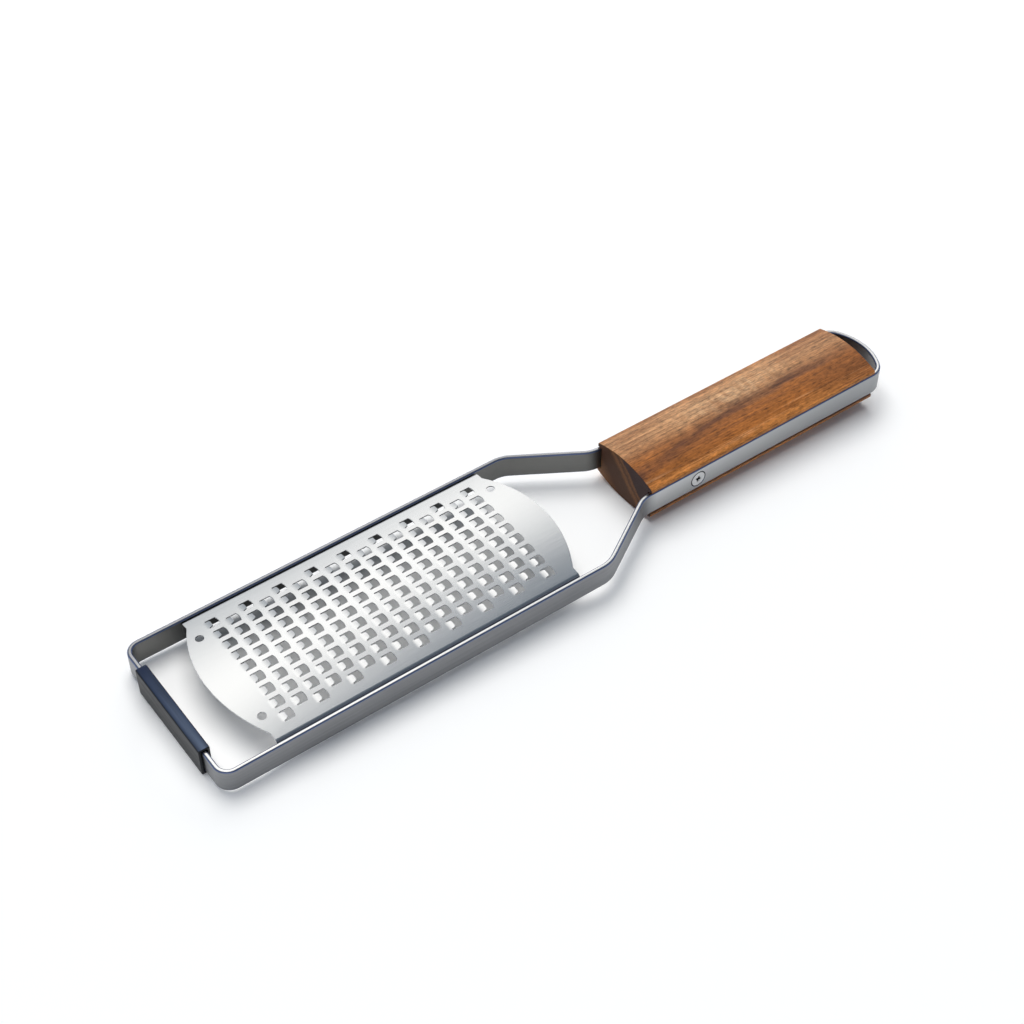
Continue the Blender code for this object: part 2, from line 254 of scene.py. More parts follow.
def settle(item):
    """Turn an object's modifiers into a plain mesh."""
    bpy.context.view_layer.update()
    graph = bpy.context.evaluated_depsgraph_get()
    mesh = bpy.data.meshes.new_from_object(item.evaluated_get(graph), depsgraph=graph)
    item.modifiers.clear()
    item.data = mesh


def soften(item, width, facets, sharpest=35, hardest=50):
    """Round a piece's hard edges, and shade its flats flat and its curves smooth."""
    if width:
        bevel = item.modifiers.new("soft_edges", "BEVEL")
        bevel.width = width
        bevel.segments = facets
        bevel.limit_method = "ANGLE"
        bevel.angle_limit = math.radians(hardest)
        bevel.use_clamp_overlap = False
    settle(item)
    item.data.shade_smooth()
    item.data.set_sharp_from_angle(angle=math.radians(sharpest))
    weighted = item.modifiers.new("flat_faces", "WEIGHTED_NORMAL")
    weighted.keep_sharp = True
    settle(item)


def merge_flats(body, flatness=0.001):
    """Make one face of those that lie in one plane, and turn all faces outwards."""
    bmesh.ops.dissolve_limit(body, angle_limit=flatness, verts=body.verts, edges=body.edges)
    bmesh.ops.recalc_face_normals(body, faces=body.faces)


def spun(profile, facets=48):
    """A profile of (radius, height) points turned round Z, from the axis back to it."""
    body = bmesh.new()
    corners = [body.verts.new((radius, 0, height)) for radius, height in profile]
    edges = [body.edges.new(pair) for pair in zip(corners, corners[1:])]
    turn = {"cent": (0, 0, 0), "axis": (0, 0, 1), "angle": math.tau, "steps": facets}
    bmesh.ops.spin(body, geom=corners + edges, use_merge=True, **turn)
    bmesh.ops.remove_doubles(body, verts=body.verts, dist=same_point)
    merge_flats(body)
    return body


def lay_across(body, side, reach):
    """Turn a bmesh from +Z to lie on the screws' line, facing out on one side."""
    for corner in body.verts:
        across, along, up = corner.co.x, corner.co.y, corner.co.z
        corner.co = (screw_x + across, side * (reach + up), strip_middle + along)
    bmesh.ops.recalc_face_normals(body, faces=body.faces)
    return body


def cut_away(item, cutter):
    """Subtract a cutter, which is gone once the piece is settled."""
    cut = item.modifiers.new("cut", "BOOLEAN")
    cut.operation = "DIFFERENCE"
    cut.solver = "EXACT"
    cut.object = cutter
    settle(item)
    bpy.data.objects.remove(cutter)


def bend(center, radius, start, end, degrees=3):
    """Points round a bend, with at most so many degrees between two of them."""
    steps = max(2, math.ceil(abs(end - start) / math.radians(degrees)))
    turns = [start + (end - start) * step / steps for step in range(steps + 1)]
    return [center + radius * Vector((math.cos(turn), math.sin(turn), 0)) for turn in turns]


quarter = math.pi / 2
core = strip_thickness / 2
lean = quarter - shoulder_angle
shoulder_setback = shoulder_radius * math.tan(shoulder_angle / 2)
corner_y = half_frame - front_corner_radius
corner_at = Vector((strip_low.x + front_corner_radius, corner_y, strip_middle))
shoulder_y = half_frame - shoulder_radius
shoulder_at = Vector((shoulder_x - shoulder_setback, shoulder_y, strip_middle))
waist_at = Vector((waist_x, half_grip + waist_radius, strip_middle))
loop_sweep = loop_radius - loop_corner_radius
loop_turn = math.asin((half_grip - loop_corner_radius) / loop_sweep)
loop_at = Vector((strip_high.x - loop_radius, 0, strip_middle))
loop_corner_at = loop_at + loop_sweep * Vector((math.cos(loop_turn), math.sin(loop_turn), 0))
far_side = bend(corner_at, front_corner_radius - core, math.pi, quarter)
far_side += bend(shoulder_at, shoulder_radius - core, quarter, lean)
far_side += bend(waist_at, waist_radius + core, lean - math.pi, -quarter)
far_side += bend(loop_corner_at, loop_corner_radius - core, quarter, loop_turn)[:-1]
far_side += bend(loop_at, loop_radius - core, loop_turn, 0)
near_side = [Vector((spot.x, -spot.y, spot.z)) for spot in reversed(far_side[:-1])]
path = bmesh.new()
ring = [path.verts.new(spot) for spot in far_side + near_side]
for corner in range(len(ring)):
    path.edges.new((ring[corner - 1], ring[corner]))
band = add_piece("frame_strip", path)

steel, shader, place = start_material("brushed_steel_strip", 1.0)
fine = noise(place, (35, 35, 5200), detail=2)
broad = noise(place, (9, 9, 800), detail=3)
cloud = noise(place, (55, 55, 160), detail=4)
streak = fine * 0.45 + broad * 0.4 + cloud * 0.15
facing = split(place.other("Normal"))
parts = split(place)
outward = facing.other(1) * parts.math("SIGN", parts.other(1))
strap = ramp((parts - waist_x) / strap_blend + 0.5, (0.2, 0.0), (0.8, 1.0))
strap = strap * ramp(outward, (0.3, 0.0), (0.8, 1.0))
upright = abs(facing.other(2))
rounding = ramp(upright, (0.15, 0.0), (0.4, 1.0), (0.88, 1.0), (0.97, 0.0))
edge = ramp(upright, (0.92, 0.0), (0.985, 1.0))
color = mix(ramp(streak, (0.34, 0.0), (0.66, 1.0)), brushed_dark, brushed_pale)
# Painted reflection: the straps' outer faces are lighter than the rest of the strip, lighter at the
# top, darker at the bottom and darker towards the rear.
strap_light = ramp((parts.other(2) - strip_low.z) / strip_height, (0.15, strap_shade_low), (0.95, strap_highlight_top))
strap_light = mix(ramp((parts - waist_x) / strap_length, (0.0, 0.0), (1.0, 0.7)), strap_light, strap_shade_rear)
color = mix(strap, color, strap_light)
# Painted shade: the faces turned into the ring are darkened towards a dark grey.
color = mix(ramp(outward * -1.0, (0.3, 0.0), (0.8, 0.8)), color, inner_face_shade)
# Painted reflection: the rounded edges of the strip are painted a dark blue.
color = mix(rounding, color, rounding_dark_reflection)
# Painted highlight and shade: the strip's top edge is pale along the near side and dark along the
# far side.
across = parts.other(1) / (2 * half_frame) + 0.5
edge_light = ramp(across, (0.05, edge_highlight_near), (0.95, edge_dark_far))
color = mix(edge, color, edge_light)
# Painted shade: the countersinks are darkened to near black round the screw heads.
sunk = ramp(from_screws(parts) / countersink_radius, (0.97, 1.0), (0.99, 0.0))
mix(sunk, color, countersink_shade).into(shader.inputs["Base Color"])
(0.38 + (streak - 0.5) * 0.24 + strap * 0.14 - edge * 0.14).into(shader.inputs["Roughness"])
bump_into(shader, fine * 0.7 + broad * 0.3, brush_depth)

kinds = {"Strip height": "Float", "Strip thickness": "Float", "Edge radius": "Float"}
tree, given = start_shape("strip_on_edge", {**kinds, "Edge facets": "Int", "Finish": "Material"})
line = given["Geometry"].node("GeometryNodeMeshToCurve", None, {0: given["Geometry"]})
line = line.node("GeometryNodeSetCurveNormal", {"mode": "Z_UP"}, {0: line})
sides = {"Width": given["Strip thickness"], "Height": given["Strip height"]}
section = line.node("GeometryNodeCurvePrimitiveQuadrilateral", None, sides)
fillet = {"Curve": section, "Count": given["Edge facets"], "Radius": given["Edge radius"]}
section = line.node("GeometryNodeFilletCurve", {"mode": "POLY"}, fillet)
swept = line.node("GeometryNodeCurveToMesh", None, {"Curve": line, "Profile Curve": section})
close_shape(swept, given["Finish"])
run_shape(band, tree, {
    "Strip height": strip_height,
    "Strip thickness": strip_thickness,
    "Edge radius": strip_edge_radius,
    "Edge facets": strip_edge_facets,
    "Finish": steel,
})
settle(band)
sink = countersink_radius - countersink_throat
bore = [(0, cutter_proud), (countersink_radius + cutter_proud, cutter_proud)]
bore += [(countersink_throat, -sink), (countersink_throat, -cutter_depth), (0, -cutter_depth)]
for side in (-1, 1):
    cut_away(band, add_piece("countersink", lay_across(spun(bore), side, half_grip)))
soften(band, 0, 0)
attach(band, "root")
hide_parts("frame_band")


# Grating blade: one sheet of half-millimetre stainless, its teeth and holes etched through and
# each tooth's tongue pressed up. The sheet is arched, folded down at both sides and
# spot-welded between the sides of the frame.
blade_low, blade_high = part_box("grating_blade")
blade_thickness = 0.0005
blade_half_width = blade_high.y
blade_above_strip = 0.0024
blade_peak = strip_high.z + blade_above_strip
half_chord = half_frame - strip_thickness
arch_rise = 0.0027
arch_radius = (half_chord ** 2 + arch_rise ** 2) / (2 * arch_rise)
fold_radius = 0.0018
fold_facets = 8
flange_depth = 0.0045
end_bulge = 0.0085
ear_width = 0.0045
tooth_columns = 17
tooth_rows = 9
column_pitch = 0.00739
end_margin = 0.0071
side_margin = 0.00434
window_length = 0.0048
window_width = 0.0046
window_bulge = 0.0005
window_facets = 8
slit_width = 0.0005
tongue_length = 0.0017
tongue_width = 0.0034
tongue_corner = 0.0008
tongue_facets = 4
tongue_lift = 0.00035
round_hole_radius = 0.00175
round_hole_inset = 0.0098
round_hole_y = 0.0228
round_hole_facets = 32
tile_cuts = 4
tile_merge = 0.00001
blade_edge_radius = 0.00006
etched_depth = 0.000006
etched_pale = (0.62, 0.63, 0.645, 1)
etched_dark = (0.56, 0.57, 0.58, 1)
underside_shade = (0.12, 0.12, 0.12, 1)


def in_plane(spots):
    """Points as (x, y) pairs."""
    return [(spot.x, spot.y) for spot in spots]


def flat_sheet(outline, holes, creases=()):
    """Triangulate an outline less its holes; points are (x, y) and any lift."""
    spots = []
    loops = []
    for loop in [outline, *holes]:
        loops.append(list(range(len(spots), len(spots) + len(loop))))
        spots.extend(loop)
    folds = []
    for start, end in creases:
        folds.append((len(spots), len(spots) + 1))
        spots.extend((start, end))
    flat = [Vector(spot[:2]) for spot in spots]
    laid = delaunay_2d_cdt(flat, folds, loops, 1, same_point / 2)
    faces = [list(face) for face, cover in zip(laid[2], laid[5]) if list(cover) == [0]]
    lifts = []
    for source in laid[3]:
        lifts.append(max([0.0] + [spots[old][2] for old in source if len(spots[old]) > 2]))
    return in_plane(laid[0]), lifts, faces


def sheet_piece(name, sheet):
    """An object of a flat sheet, with each point's lift as an attribute."""
    spots, lifts, faces = sheet
    used = sorted({corner for face in faces for corner in face})
    number = {corner: index for index, corner in enumerate(used)}
    mesh = bpy.data.meshes.new(name)
    corners = [(*spots[corner], 0) for corner in used]
    mesh.from_pydata(corners, [], [[number[corner] for corner in face] for face in faces])
    lift = mesh.attributes.new("lift", "FLOAT", "POINT")
    lift.data.foreach_set("value", [lifts[corner] for corner in used])
    item = bpy.data.objects.new(name, mesh)
    bpy.context.scene.collection.objects.link(item)
    return item


arch_sweep = arch_radius - fold_radius
arch_turn = math.asin((blade_half_width - fold_radius) / arch_sweep)
arch_center = blade_peak - arch_radius
arch_length = arch_radius * arch_turn
fold_length = fold_radius * (quarter - arch_turn)
sheet_edge = arch_length + fold_length + flange_depth
row_pitch = (2 * (arch_length - side_margin) - window_width) / (tooth_rows - 1)
blade_front = blade_low.x + end_bulge
blade_rear = blade_high.x - end_bulge
first_tooth = blade_front + end_margin
tile_front = (window_length - column_pitch) / 2
tile_rear = tile_front + column_pitch
tile_side = row_pitch / 2

window_half = window_width / 2
window_far = window_length - window_bulge
window_radius = (window_half ** 2 + window_bulge ** 2) / (2 * window_bulge)
window_reach = math.asin(window_half / window_radius)
window = [(0, -window_half, 0)]
for step in range(window_facets + 1):
    turn = window_reach * (2 * step / window_facets - 1)
    swell = window_radius * (math.cos(turn) - math.cos(window_reach))
    window.append((window_far + swell, window_radius * math.sin(turn), 0))
tongue_root = window_half - slit_width
tongue_side = tongue_width / 2
shoulder = tongue_length - tongue_corner
tongue = [(0, tongue_root, 0), (shoulder, tongue_side, tongue_lift * shoulder / tongue_length)]
for step in range(1, tongue_facets + 1):
    turn = quarter * step / tongue_facets
    x = shoulder + tongue_corner * math.sin(turn)
    y = tongue_side - tongue_corner * (1 - math.cos(turn))
    tongue.append((x, y, tongue_lift * x / tongue_length))
window += [(0, window_half, 0)] + tongue + [(x, -y, lift) for x, y, lift in reversed(tongue)]
edges_x = [tile_front + column_pitch * step / tile_cuts for step in range(tile_cuts + 1)]
edges_y = [tile_side * (2 * step / tile_cuts - 1) for step in range(tile_cuts + 1)]
tile = [(x, -tile_side) for x in edges_x[:-1]] + [(tile_rear, y) for y in edges_y[:-1]]
tile += [(x, tile_side) for x in edges_x[:0:-1]] + [(tile_front, y) for y in edges_y[:0:-1]]
fold_line = ((0, -tongue_root, 0), (0, tongue_root, 0))
tooth = sheet_piece("tooth", flat_sheet(tile, [window], [fold_line]))

rim = []
for column in range(tooth_columns):
    left = first_tooth + tile_front + column * column_pitch
    top = (tooth_rows - column % 2) * tile_side
    above = (tooth_rows - 1 + column % 2) * tile_side
    if column:
        rim.append((left, (top + above) / 2))
    rim += [(left + column_pitch * step / tile_cuts, top) for step in range(tile_cuts + 1)]
level_steps = range(1, tile_cuts * tooth_rows)
levels = [tile_side * (tooth_rows - 2 * step / tile_cuts) for step in level_steps]
block = rim + [(rim[-1][0], level) for level in levels]
block += [(x, -y) for x, y in reversed(rim)] + [(rim[0][0], -level) for level in levels]
apart = [(Vector(spot) - Vector(block[index - 1])).length for index, spot in enumerate(block)]
block = [spot for spot, gap in zip(block, apart) if gap > same_point]
block.reverse()
ear_start = blade_half_width - ear_width
end_radius = (ear_start ** 2 + end_bulge ** 2) / (2 * end_bulge)
end_turn = math.asin(ear_start / end_radius)
front_center = Vector((blade_low.x + end_radius, 0, 0))
rear_center = Vector((blade_high.x - end_radius, 0, 0))
front_end = bend(front_center, end_radius, math.pi - end_turn, math.pi + end_turn)
rear_end = bend(rear_center, end_radius, -end_turn, end_turn)
fold_runs = [arch_length + fold_length * step / fold_facets for step in range(fold_facets + 1)]
fold_runs.append(sheet_edge)
outline = in_plane(front_end) + [(blade_front, -run) for run in fold_runs]
outline += [(blade_rear, -run) for run in reversed(fold_runs)] + in_plane(rear_end)
outline += [(blade_rear, run) for run in fold_runs]
outline += [(blade_front, run) for run in reversed(fold_runs)]
round_holes = []
for x, y in (
    (blade_low.x + round_hole_inset, -round_hole_y),
    (blade_low.x + round_hole_inset, round_hole_y),
    (blade_high.x - round_hole_inset, round_hole_y),
):
    turns = [math.tau * step / round_hole_facets for step in range(round_hole_facets)]
    round_holes.append([
        (x + round_hole_radius * math.cos(turn), y + round_hole_radius * math.sin(turn))
        for turn in turns
    ])
creases = []
for run in fold_runs[:-1]:
    creases += [((blade_front, side * run), (blade_rear, side * run)) for side in (-1, 1)]
for step in range(1 - tooth_rows, tooth_rows):
    y = step * tile_side
    swell = math.sqrt(end_radius ** 2 - y ** 2) - end_radius
    creases.append(((blade_low.x - swell, y), (rim[0][0], y)))
    creases.append(((rim[-1][0], y), (blade_high.x + swell, y)))
blade = sheet_piece("etched_blade", flat_sheet(outline, [block, *round_holes], creases))

sheet_steel, shader, place = start_material("etched_sheet_steel", 1.0)
rolled = noise(place, (60, 3800, 3800), detail=2)
cloud = noise(place, (60, 90, 90), detail=3)
grain = noise(place, (2600, 2600, 2600), detail=2)
tone = rolled * 0.4 + cloud * 0.2 + grain * 0.4
facing = split(place.other("Normal"))
parts = split(place)
inward = facing.other(1) * parts.math("SIGN", parts.other(1)) * -1.0
# Painted shade: the sheet's underside and the inner faces of its folds are darkened to a dark grey.
under = ramp(facing.other(2) * 0.5 + 0.5, (0.2, 1.0), (0.42, 0.0))
under = under.math("MAXIMUM", under, ramp(inward, (0.4, 0.0), (0.8, 1.0)))
color = mix(ramp(tone, (0.3, 0.0), (0.7, 1.0)), etched_dark, etched_pale)
mix(under, color, underside_shade).into(shader.inputs["Base Color"])
(0.24 + (tone - 0.5) * 0.16 + under * 0.2).into(shader.inputs["Roughness"])
bump_into(shader, rolled * 0.5 + grain * 0.5, etched_depth)

kinds = {"Tooth": "Object", "Columns": "Int", "Rows": "Int", "First column": "Float"}
kinds |= {"Column pitch": "Float", "Row pitch": "Float", "Arch radius": "Float"}
kinds |= {"Arch centre": "Float", "Arch length": "Float", "Fold radius": "Float"}
kinds |= {"Fold length": "Float", "Finish": "Material"}
tree, given = start_shape("grating_pattern", kinds)
start = given["Geometry"]
index = start.node("GeometryNodeInputIndex")
column = index.math("FLOOR", (index + 0.5) / given["Rows"])
row = index - column * given["Rows"]
odd = column.math("MODULO", column, 2.0)
last = given["Rows"] - 1
x = given["First column"] + column * given["Column pitch"]
y = (row - last / 2 + odd / 2) * given["Row pitch"]
spot = x.node("ShaderNodeCombineXYZ", None, {0: x, 1: y})
points = {"Count": given["Columns"] * given["Rows"], "Position": spot}
points = start.node("GeometryNodePoints", None, points)
spare = {"Geometry": points, "Selection": odd * (row > last - 0.5)}
points = start.node("GeometryNodeDeleteGeometry", {"domain": "POINT"}, spare)
single = start.node("GeometryNodeObjectInfo", None, {"Object": given["Tooth"]}, give="Geometry")
teeth = start.node("GeometryNodeInstanceOnPoints", None, {"Points": points, "Instance": single})
teeth = start.node("GeometryNodeRealizeInstances", None, {0: teeth})
sheet = start.node("GeometryNodeJoinGeometry", None, {0: [start, teeth]})
sheet = start.node("GeometryNodeMergeByDistance", None, {"Geometry": sheet, "Distance": tile_merge})
spot = start.node("GeometryNodeInputPosition")
flat = split(spot)
side = flat.math("SIGN", flat.other(1))
run = abs(flat.other(1))
lift = start.node("GeometryNodeInputNamedAttribute", {"data_type": "FLOAT"}, {"Name": "lift"})
arch = run.math("MINIMUM", run, given["Arch length"]) / given["Arch radius"]
folded = run.math("MAXIMUM", run - given["Arch length"], 0.0)
folded = folded.math("MINIMUM", folded, given["Fold length"]) / given["Fold radius"]
hang = run.math("MAXIMUM", run - given["Arch length"] - given["Fold length"], 0.0)
slope = arch + folded
out = slope.math("SINE", slope) - arch.math("SINE", arch)
across = arch.math("SINE", arch) * (given["Arch radius"] + lift) + out * given["Fold radius"]
down = slope.math("COSINE", slope) - arch.math("COSINE", arch)
up = given["Arch centre"] + arch.math("COSINE", arch) * (given["Arch radius"] + lift)
up = up + down * given["Fold radius"] - hang
curved = spot.node("ShaderNodeCombineXYZ", None, {0: flat, 1: across * side, 2: up})
sheet = start.node("GeometryNodeSetPosition", None, {"Geometry": sheet, "Position": curved})
close_shape(sheet, given["Finish"])
run_shape(blade, tree, {
    "Tooth": tooth,
    "Columns": tooth_columns,
    "Rows": tooth_rows,
    "First column": first_tooth,
    "Column pitch": column_pitch,
    "Row pitch": row_pitch,
    "Arch radius": arch_radius,
    "Arch centre": arch_center,
    "Arch length": arch_length,
    "Fold radius": fold_radius,
    "Fold length": fold_length,
    "Finish": sheet_steel,
})
wall = blade.modifiers.new("gauge", "SOLIDIFY")
wall.thickness = blade_thickness
wall.offset = -1
wall.use_even_offset = True
soften(blade, blade_edge_radius, 1)
bpy.data.objects.remove(tooth)
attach(blade, "root")
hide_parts("grating_blade")


# Handle: one block of oiled hardwood with its grain along the tool, crowned above and below.
# A groove down each side takes a strap of the frame, and it is bored across for the screws'
# sleeve nut.
handle_low, handle_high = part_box("handle")
lip_above_strap = 0.0021
handle_lip = strip_height / 2 + lip_above_strap
handle_crown = handle_high.z - strip_middle - handle_lip
handle_edge_radius = 0.0009
handle_arris = 0.0003
wood_clearance = 0.0003
groove_half = strip_height / 2 + wood_clearance
groove_floor = half_grip - strip_thickness - wood_clearance
groove_shade_width = 0.001
end_grain_scale = 30
pore_depth = 0.00004
crown_radius = (half_grip ** 2 + handle_crown ** 2) / (2 * handle_crown)
wood_pale = (0.60, 0.37, 0.20, 1)
wood_gold = (0.45, 0.232, 0.105, 1)
wood_tan = (0.39, 0.175, 0.067, 1)
wood_brown = (0.22, 0.078, 0.026, 1)
wood_orange = (0.335, 0.112, 0.022, 1)
wood_lit_orange = (0.54, 0.205, 0.048, 1)
wood_dark = (0.070, 0.026, 0.017, 1)
wood_end = (0.082, 0.032, 0.014, 1)
wood_end_pale = (0.215, 0.088, 0.029, 1)
wood_end_dark = (0.045, 0.019, 0.017, 1)


def prism(outline, holes, place_at, ends):
    """A closed solid between two copies of a flat outline, set by place_at(point, end)."""
    spots, _, faces = flat_sheet(outline, holes)
    body = bmesh.new()
    first, last = [[body.verts.new(place_at(spot, end)) for spot in spots] for end in ends]
    borders = set()
    for face in faces:
        body.faces.new([last[corner] for corner in face])
        body.faces.new([first[corner] for corner in reversed(face)])
        borders |= {(face[index - 1], corner) for index, corner in enumerate(face)}
    for start, end in sorted(borders):
        if (end, start) not in borders:
            body.faces.new((last[start], first[start], first[end], last[end]))
    for corner in [corner for corner in body.verts if not corner.link_faces]:
        body.verts.remove(corner)
    merge_flats(body)
    return body


crown_sweep = crown_radius - handle_edge_radius
crown_turn = math.asin((half_grip - handle_edge_radius) / crown_sweep)
crown_at = Vector((0, handle_high.z - strip_middle - crown_radius, 0))
edge_at = crown_at + crown_sweep * Vector((math.sin(crown_turn), math.cos(crown_turn), 0))
top = bend(edge_at, handle_edge_radius, 0, quarter - crown_turn)[:-1]
top += bend(crown_at, crown_radius, quarter - crown_turn, quarter + crown_turn)
top += [Vector((-spot.x, spot.y, 0)) for spot in reversed(top[:-1]) if spot.x > edge_at.x]
upper = in_plane(top)
groove = [(half_grip, groove_half), (groove_floor, groove_half)]
groove += [(y, -z) for y, z in reversed(groove)]
lower = [(y, -z) for y, z in reversed(upper)]
outline = groove[::-1] + upper + [(-y, z) for y, z in groove] + lower
wood_block = prism(
    outline,
    [],
    lambda spot, end: (end, spot[0], strip_middle + spot[1]),
    (handle_low.x, handle_high.x),
)
handle = add_piece("wooden_handle", wood_block)
nut_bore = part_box("sleeve_nut")[1].z - strip_middle + wood_clearance
bore_reach = groove_floor + cutter_proud
cross_bore = [(0, bore_reach), (nut_bore, bore_reach), (nut_bore, -bore_reach), (0, -bore_reach)]
cut_away(handle, add_piece("cross_bore", lay_across(spun(cross_bore), 1, 0)))

wood, shader, place = start_material("oiled_hardwood", 0.0)
shader.inputs["Specular IOR Level"].default_value = 0.3
parts = split(place)
facing = split(place.other("Normal"))
along = (parts - handle_low.x) / (handle_high.x - handle_low.x)
sway = noise(place, (14, 70, 70), detail=2)
wander = noise(place, (60, 320, 320), detail=3)
across = 0.5 - parts.other(1) / (2 * half_grip) + (sway - 0.5) * 0.22 + (wander - 0.5) * 0.16
zone = ramp(
    across,
    (0.0, wood_tan),
    (0.12, wood_gold),
    (0.32, wood_gold),
    (0.46, wood_tan),
    (0.6, wood_orange),
    (0.88, wood_orange),
    (1.0, wood_lit_orange),
)
bands = noise(place, (7, 330, 330), detail=4, roughness=0.6, twist=0.4)
lines = noise(place, (18, 1500, 1500), detail=3, roughness=0.6)
fleck = noise(place, (380, 1400, 1400), detail=3, roughness=0.65)
patch = noise(place, (28, 110, 110), detail=3)
figure = noise(place, (420, 130, 130), detail=1)
heart = abs(across + along.math("MINIMUM", along, 0.5) * 0.5 - 0.76)
dark_streak = ramp(heart, (0.02, 1.0), (0.12, 0.0)) * ramp(along, (0.8, 1.0), (0.92, 0.25))
dark_streak = dark_streak * ramp(patch * 0.6 + bands * 0.4, (0.42, 0.25), (0.56, 1.0))
flame = ramp(abs(across - 0.3), (0.05, 1.0), (0.2, 0.0))
flame = flame * ramp(abs(along - 0.5), (0.08, 1.0), (0.3, 0.0))
rear_near = ramp(along, (0.68, 0.0), (0.98, 1.0)) * ramp(across, (0.52, 0.0), (0.8, 1.0))
rear_end = ramp(along, (0.66, 0.0), (0.92, 1.0)) * ramp(across, (0.0, 0.6), (0.2, 0.3))
gold_line = ramp(across, (0.84, 0.0), (0.9, 1.0), (0.96, 0.0)) * ramp(lines, (0.5, 0.0), (0.6, 1.0))
color = mix(ramp(bands * 0.6 + patch * 0.4, (0.42, 0.5), (0.52, 0.0)), zone, wood_brown)
color = mix(flame * ramp(figure, (0.36, 0.1), (0.7, 0.75)), color, wood_pale)
color = mix(dark_streak * 0.9, color, wood_dark)
color = mix(rear_near * 0.4 + rear_end, color, wood_brown)
color = mix(gold_line * 0.6, color, wood_gold)
# Painted light: the side faces, with the lips along the grooves, are lightened towards a bright
# orange as if lit; the top's near edge ends in the same colour.
flank = ramp(abs(facing.other(1)), (0.3, 0.0), (0.7, 1.0))
color = mix(flank * 0.75, color, wood_lit_orange)
# Painted shade: the side faces are darkened within a millimetre of each groove, where the strap
# meets the wood.
groove_shade = (abs(parts.other(2) - strip_middle) - groove_half) / groove_shade_width
color = mix(flank * ramp(groove_shade, (0.3, 0.85), (0.75, 0.0)), color, wood_dark)
mottle = noise(place, (230, 420, 420), detail=3, roughness=0.6)
line_strength = ramp(across, (0.5, 0.8), (0.9, 1.0))
shade = 1.0 + (bands - 0.5) * 0.8 + (lines - 0.5) * line_strength * 1.6
shade = shade + (fleck - 0.5) * 2.0 + (mottle - 0.5) * 1.2
color = color.node("ShaderNodeVectorMath", {"operation": "MULTIPLY"}, {0: color, 1: shade})
slant = (parts.other(1) - parts.other(2) + strip_middle) * math.sqrt(0.5) + (sway - 0.5) * 0.003
rings = noise(place, (60, 500, 500), detail=4, roughness=0.6, twist=1.0)
end_grain = ramp(
    slant * end_grain_scale + 0.5 + (rings - 0.5) * 0.12,
    (0.31, wood_end_dark),
    (0.345, wood_end_pale),
    (0.40, wood_end),
    (0.45, wood_end_pale),
    (0.52, wood_end),
    (0.75, wood_end),
    (0.95, wood_end_pale),
)
end_mask = ramp(abs(facing), (0.6, 0.0), (0.8, 1.0))
color = mix(end_mask, color, end_grain)
color.into(shader.inputs["Base Color"])
(0.5 + (fleck - 0.5) * 0.3 + end_mask * 0.15).into(shader.inputs["Roughness"])
bump_into(shader, fleck * 0.5 + lines * 0.5, pore_depth)
handle.data.materials.clear()
handle.data.materials.append(wood)
soften(handle, handle_arris, 2)
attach(handle, "root")
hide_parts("handle")


# Screws and sleeve nut: two countersunk machine screws with a cross recess, turned, pressed
# and plated, meet inside a threaded sleeve that runs through the handle.
screw_head_radius = 0.0036
screw_radius = 0.002
screw_length = 0.013
screw_rim = 0.00018
screw_tip = 0.0004
recess_reach = 0.0015
recess_half = 0.00056
recess_depth = 0.0012
recess_proud = 0.0002
recess_taper = 0.62
recess_turn = 0.3
head_shade_reach = 0.004
scuff_depth = 0.000008
plated_color = (0.66, 0.67, 0.68, 1)
plated_dark = (0.54, 0.55, 0.56, 1)
recess_shade = (0.03, 0.03, 0.033, 1)

head_depth = screw_head_radius - screw_radius
profile = [(0, 0), (screw_head_radius - screw_rim, 0), (screw_head_radius, -screw_rim)]
profile += [(screw_radius, -head_depth), (screw_radius, screw_tip - screw_length)]
profile += [(screw_radius - screw_tip, -screw_length), (0, -screw_length)]
screw = add_piece("cross_screw", spun(profile))
cross = []
for turn in range(4):
    for u, v in (
        (recess_reach, -recess_half),
        (recess_reach, recess_half),
        (recess_half, recess_half),
    ):
        for step in range(turn):
            u, v = -v, u
        cross.append((u, v))


def recess_place(spot, end):
    """The cross narrows towards its floor, as the punch that presses it does."""
    scale = 1.0 if end > 0 else recess_taper
    return spot[0] * scale, spot[1] * scale, end


cut_away(screw, add_piece("recess", prism(cross, [], recess_place, (-recess_depth, recess_proud))))
plated, shader, place = start_material("plated_steel", 1.0)
turned = noise(place, (900, 900, 900), detail=3)
scuff = noise(place, (260, 260, 2400), detail=3)
parts = split(place)
from_axis = from_screws(parts) / head_shade_reach
# Painted shade: the cross recess and a ring at the rim of each head are darkened to near black.
sunk = ramp((half_grip - abs(parts.other(1))) / recess_depth, (0.125, 0.0), (0.292, 1.0))
sunk = sunk * ramp(from_axis, (0.45, 1.0), (0.5, 0.0))
head_shade = sunk.math("MAXIMUM", sunk, ramp(from_axis, (0.81, 0.0), (0.86, 1.0)))
color = mix(ramp(turned * 0.5 + scuff * 0.5, (0.35, 0.0), (0.65, 1.0)), plated_dark, plated_color)
mix(head_shade, color, recess_shade).into(shader.inputs["Base Color"])
(0.45 + (scuff - 0.5) * 0.2).into(shader.inputs["Roughness"])
bump_into(shader, scuff, scuff_depth)

